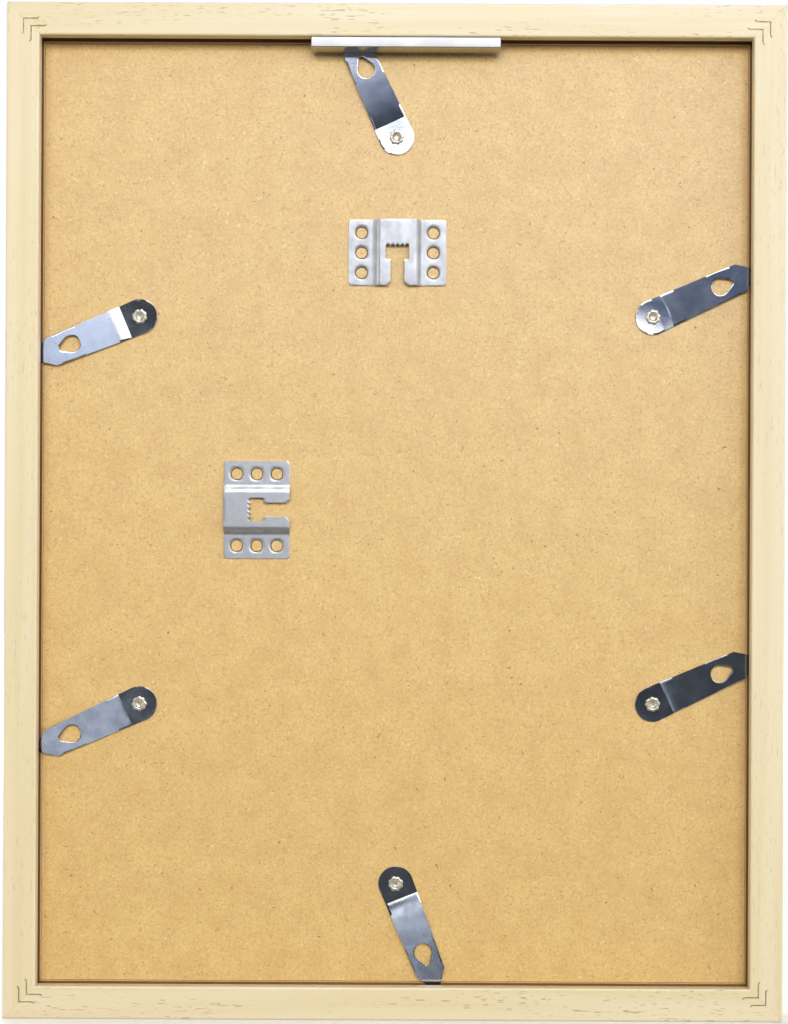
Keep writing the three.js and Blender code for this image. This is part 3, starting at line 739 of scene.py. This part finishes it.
def makeHanger(name, turn):
    h = hanger
    line = hangerSideLine(h)
    along = hangerStations(h)
    above = np.interp(along, line[:, 0], line[:, 1])
    span = np.abs(along)
    half = line[-1, 0]
    halfHeight = h["height"] / 2
    headHalf = h["teeth"] * h["toothPitch"] / 2
    # outer edges, with rounded corners on the flanges and chamfers at the mouth of the slot
    inCorner = np.clip(span - (half - h["corner"]), 0, h["corner"])
    cornerDrop = h["corner"] - np.sqrt(h["corner"] ** 2 - inCorner ** 2)
    mouth = np.where(span >= h["neckHalf"] - hairline,
                     np.clip(h["neckHalf"] + h["mouthChamfer"] - span, 0, None), 0)
    low = -halfHeight + cornerDrop + mouth
    high = halfHeight - cornerDrop
    # slot: its lower edge is rounded into the ends of the head, and its upper edge carries the teeth
    neckTop = h["neckHeight"] - halfHeight
    inHead = np.clip(span - (headHalf - h["headCorner"]), 0, h["headCorner"])
    slotLow = neckTop + h["headCorner"] - np.sqrt(h["headCorner"] ** 2 - inHead ** 2)
    tooth = (np.arange(h["teeth"]) - (h["teeth"] - 1) / 2) * h["toothPitch"]
    nearest = np.abs(along[:, None] - tooth[None]).min(axis=1)
    scallop = np.sqrt(np.clip(h["toothRadius"] ** 2 - nearest ** 2, 0, None))
    slotHigh = neckTop + h["headHeight"] + np.where(nearest < h["toothRadius"], h["toothWall"] + scallop, 0)
    # collar holes in the flanges; their rows blend into the rows that frame the slot
    collar = half - h["collarInset"]
    gap = np.sqrt(np.clip(h["collarHole"] ** 2 - (span - collar) ** 2, 0, None))
    plateEnd = h["plateHalf"] + h["joggle"]
    blend = np.clip((span - plateEnd) / (collar - h["collarHole"] - plateEnd), 0, 1)
    under = (neckTop - halfHeight) / 2
    over = (neckTop + h["headHeight"] + halfHeight) / 2
    plateEdges = [under, under, slotLow, slotHigh, over, over]
    flangeEdges = [s * h["collarPitch"] + e * gap for s in (-1, 0, 1) for e in (-1, 1)]
    middle = [(1 - blend) * p + blend * f for p, f in zip(plateEdges, flangeEdges)]
    counts = [5, 2, 5, 4, 5, 2, 5]    # steps in each strip, from the lower edge to the upper one
    across = columnsBetween([low, *middle, high], counts)
    # cells that hold metal
    starts = np.cumsum([0, *counts])
    keep = np.ones((len(along) - 1, across.shape[1] - 1), bool)
    between = (span[:-1] + span[1:]) / 2
    holed = (gap[:-1] > hairline) | (gap[1:] > hairline)
    for strip in (1, 3, 5):
        keep[holed, starts[strip]:starts[strip + 1]] = False
    keep[between < headHalf, starts[3]:starts[4]] = False
    keep[between < h["neckHalf"], :starts[4]] = False
    lift = np.zeros_like(across)
    points, quads = sheetGrid(along, above, across, lift, keep, h["sheet"])
    # collars: a profile of radius and height turned about each hole
    profile = np.array(h["collarProfile"]) * mm
    angle = np.linspace(0, 2 * math.pi, h["collarSteps"], endpoint=False)
    ring = np.stack([profile[:, :1] * np.cos(angle), profile[:, :1] * np.sin(angle),
                     np.repeat(profile[:, 1:], len(angle), axis=1) + h["gapToPanel"]], axis=-1)
    grid = np.arange(ring[..., 0].size).reshape(ring.shape[:2])
    nextRow = np.roll(grid, -1, axis=0)
    ringQuads = np.stack([grid, np.roll(grid, -1, axis=1), np.roll(nextRow, -1, axis=1), nextRow], axis=-1)
    for centre in ((s * collar, t * h["collarPitch"]) for s in (-1, 1) for t in (-1, 0, 1)):
        quads = np.concatenate([quads, ringQuads.reshape(-1, 4) + len(points)])
        points = np.concatenate([points, (ring + [*centre, 0]).reshape(-1, 3)])
    lowCorner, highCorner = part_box(name)
    middlePlace = (lowCorner + highCorner) / 2
    pivot = (middlePlace.x, middlePlace.z)
    placed = setOnPanel(points[:, 0], points[:, 1], points[:, 2], math.radians(turn), pivot)
    piece = makePiece("plate_" + name, placed, quads.tolist(), metals["hanger zinc"], h["rounding"])
    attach(piece, "frame")
    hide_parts(name)


for name, turn in hanger["places"].items():
    makeHanger(name, turn)
print("hangers made")


# hanging bar: its section drawn out along X, with soft edges
bar = {
    "rounding": 0.3 * mm,
    # depth and height of each corner of the section
    "section": ((2.875, 196.45), (11.875, 196.45), (11.875, 200.7), (10.675, 200.7), (10.675, 197.65),
                (6.575, 197.65), (6.575, 205.8), (5.375, 205.8), (5.375, 197.65), (2.875, 197.65)),
}


def makeBar():
    low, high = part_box("hanging_bar")
    section = np.array(bar["section"]) * mm
    count = len(section)
    ends = [np.column_stack([np.full(count, x), section]) for x in (low.x, high.x)]
    ring = np.arange(count)
    walls = np.stack([ring, np.roll(ring, -1), np.roll(ring, -1) + count, ring + count], axis=-1)
    faces = [*walls.tolist(), ring.tolist(), (ring + count).tolist()]
    piece = makePiece("bar_profile", np.concatenate(ends), faces, metals["bar aluminium"], bar["rounding"])
    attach(piece, "hanging_bar")
    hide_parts("hanging_bar")


makeBar()
print("hanging bar made")


# camera square to the back, standing a little low, with its shift bringing the frame into the picture
cameraPlace = {
    "distance": 0.8,            # from the back of the rails
    "footX": -0.00452,
    "footZ": -0.0309,
    "lens": 66.57,
    "sensor": 36,
    "shift": (-0.01074, 0.07129),
    "roll": 0.28,
}
camera = bpy.data.objects.new("camera", bpy.data.cameras.new("camera"))
camera.data.lens = cameraPlace["lens"]
camera.data.sensor_width = cameraPlace["sensor"]
camera.data.shift_x, camera.data.shift_y = cameraPlace["shift"]
camera.location = (cameraPlace["footX"], cadBox[1].y + cameraPlace["distance"], cameraPlace["footZ"])
look = Vector((0, -1, 0)).to_track_quat("-Z", "Y").to_matrix()
camera.rotation_euler = (look @ Matrix.Rotation(math.radians(cameraPlace["roll"]), 3, "Z")).to_euler()
bpy.context.scene.collection.objects.link(camera)
bpy.context.scene.camera = camera

# pale floor under the frame, which fades to white further off
floorLooks = {
    "size": 12.0,
    "colour": screenColour(244, 243, 240),
    "cloud": screenColour(240, 239, 236),
    "cloudScale": 3.0,
    "glow": (0.2, 0.2, 0.2, 1),
    "fade": (0.6, 2.0),
}
reach = floorLooks["size"] / 2
ground = cadBox[0].z
floorCorners = [(-reach, -reach, ground), (reach, -reach, ground),
                (reach, reach, ground), (-reach, reach, ground)]
floorMesh = bpy.data.meshes.new("floor")
floorMesh.from_pydata(floorCorners, [], [(0, 1, 2, 3)])
floor = bpy.data.objects.new("floor", floorMesh)
floorPaint, floorTree, floorShader, floorPlace = newMaterial(
    "pale floor", Roughness=0.7, Specular_IOR_Level=0.2, Emission_Strength=1.0)
floorClouds = noise(floorTree, floorPlace, floorLooks["cloudScale"])
floorTone = mixColour(floorTree, floorClouds, floorLooks["colour"], floorLooks["cloud"])
floorTree.links.new(floorTone, floorShader.inputs["Base Color"])
floorReach = putNode(floorTree, "VectorMath", {0: floorPlace}, operation="LENGTH").outputs["Value"]
floorFade = ramp(floorTree, floorReach, *floorLooks["fade"])
floorGlow = mixColour(floorTree, floorFade, floorLooks["glow"], white)
floorTree.links.new(floorGlow, floorShader.inputs["Emission Color"])
floorMesh.materials.append(floorPaint)
bpy.context.scene.collection.objects.link(floor)
floor.visible_glossy = False     # the floor neither shows in the metal nor lights the frame
floor.visible_diffuse = False

# studio: a large soft lamp over the camera, and weaker ones for the picture side and the outer edges
lamps = {
    "key": {"place": (-0.04, 3.0, 0.64), "size": (2.15, 0.8), "power": 84},
    "picture side": {"place": (1.0, -2.0, 1.3), "size": (1.2, 1.2), "power": 34},
    "left edge": {"place": (2.2, -0.5, 0.3), "size": (1.0, 1.0), "power": 16},
    "right edge": {"place": (-2.2, -0.5, 0.3), "size": (1.0, 1.0), "power": 14},
}
for name, lamp in lamps.items():
    data = bpy.data.lights.new(name, "AREA")
    data.shape = "RECTANGLE"
    data.size, data.size_y = lamp["size"]
    data.energy = lamp["power"]
    light = bpy.data.objects.new(name, data)
    light.location = lamp["place"]
    aim = (-Vector(lamp["place"])).to_track_quat("-Z", "Y").to_matrix()
    light.rotation_euler = aim.to_euler()
    light.visible_glossy = False    # metal sees the painted room instead
    bpy.context.scene.collection.objects.link(light)

# world: white to the camera. Besides the lamps, light comes in weakly from all round and from pale walls at
# both sides. Metal sees the white backdrop behind the frame and, on the camera's side, a painted room: dark,
# with dusk, a pale ground, three pale patches and the lamp overhead, between side walls that darken towards
# their foot. A direction has x to the left as the camera looks, y towards the camera and z up. The tent is z
# raised towards both sides, so that dusk and lamp hang lower there. Each fade runs from nothing at its first
# value to full at its second
worldLooks = {
    "fill": (0.1, -0.15, 0.08, 0.45),       # along y, with its level in front and behind
    "leftFill": (0.4, 0.75, 0, 1.1),        # along x, with its level at the wall
    "rightFill": (-0.4, -0.75, 0, 3.0),
    "sideFillDepth": (0.0, 0.1),
    "sideFillHeight": (0.4, 0.1),
    "tentLeft": (0, 0.5, 0, 0.135),
    "tentRight": (0, -0.5, 0, 0.225),
    "dark": (0.055, 0.062, 0.07, 1),
    # painted over the dark one after another: a colour and the fades that bound it
    "painted": {
        "dusk": ((0.12, 0.165, 0.275, 1), (("tent", 0.05, 0.18), ("x", 0.13, 0.112))),
        "ground": ((0.24, 0.235, 0.23, 1), (("z", -0.22, -0.28),)),
        "low patch": ((0.6, 0.66, 0.77, 1), (("x", -0.02, 0.03), ("x", 0.12, 0.1), ("z", -0.2, -0.14))),
        "side patch": ((1.5, 1.57, 1.68, 1),
                       (("x", 0.065, 0.09), ("x", 0.125, 0.11), ("z", -0.02, 0.04), ("z", 0.13, 0.1))),
        "high patch": ((0.84, 0.97, 1.25, 1), (("x", -0.05, 0.055), ("x", 0.115, 0.095), ("z", 0.075, 0.13))),
        "lamp": ((3.0, 3.0, 3.05, 1), (("x", 0.2, 0.16), ("x", -0.5, -0.4), ("tent", 0.205, 0.24))),
    },
    "wallFoot": (0.34, 0.35, 0.37, 1),
    "wallHead": (1.05, 1.06, 1.1, 1),
    "wallRise": (-0.5, -0.05),
    "wallStart": (0.45, 0.6),
    "backdropStart": (0.15, -0.15),
}
world = bpy.data.worlds.new("studio")
bpy.context.scene.world = world
world.use_nodes = True
tree = world.node_tree
background = tree.nodes["Background"]
toward = putNode(tree, "TexCoord").outputs["Generated"]
split = putNode(tree, "SeparateXYZ", {0: toward}).outputs
x, y, z = split["X"], split["Y"], split["Z"]
tentLeft = calc(tree, "ADD", z, ramp(tree, x, *worldLooks["tentLeft"], smooth=False))
tent = calc(tree, "ADD", tentLeft, ramp(tree, x, *worldLooks["tentRight"], smooth=False))
bounds = {"x": x, "z": z, "tent": tent}
room = worldLooks["dark"]
for colour, fades in worldLooks["painted"].values():
    mask = 1.0
    for bound, nothing, full in fades:
        mask = calc(tree, "MULTIPLY", mask, ramp(tree, bounds[bound], nothing, full))
    room = mixColour(tree, mask, room, colour)
wall = mixColour(tree, ramp(tree, z, *worldLooks["wallRise"]), worldLooks["wallFoot"], worldLooks["wallHead"])
walled = mixColour(tree, ramp(tree, absolute(tree, x), *worldLooks["wallStart"]), room, wall)
around = mixColour(tree, ramp(tree, y, *worldLooks["backdropStart"]), walled, white)
wallFill = calc(tree, "ADD", ramp(tree, x, *worldLooks["leftFill"]), ramp(tree, x, *worldLooks["rightFill"]))
frontFill = calc(tree, "MULTIPLY", wallFill, ramp(tree, y, *worldLooks["sideFillDepth"]))
updown = absolute(tree, z)
sideFill = calc(tree, "MULTIPLY", frontFill, ramp(tree, updown, *worldLooks["sideFillHeight"]))
level = calc(tree, "MAXIMUM", sideFill, ramp(tree, y, *worldLooks["fill"]))
path = putNode(tree, "LightPath").outputs
lit = mixColour(tree, path["Is Glossy Ray"], level, around)
seen = calc(tree, "MAXIMUM", path["Is Camera Ray"], path["Is Transmission Ray"])
tree.links.new(mixColour(tree, seen, lit, white), background.inputs["Color"])
bpy.context.scene.view_settings.view_transform = "Standard"
print("camera, floor and lights set")
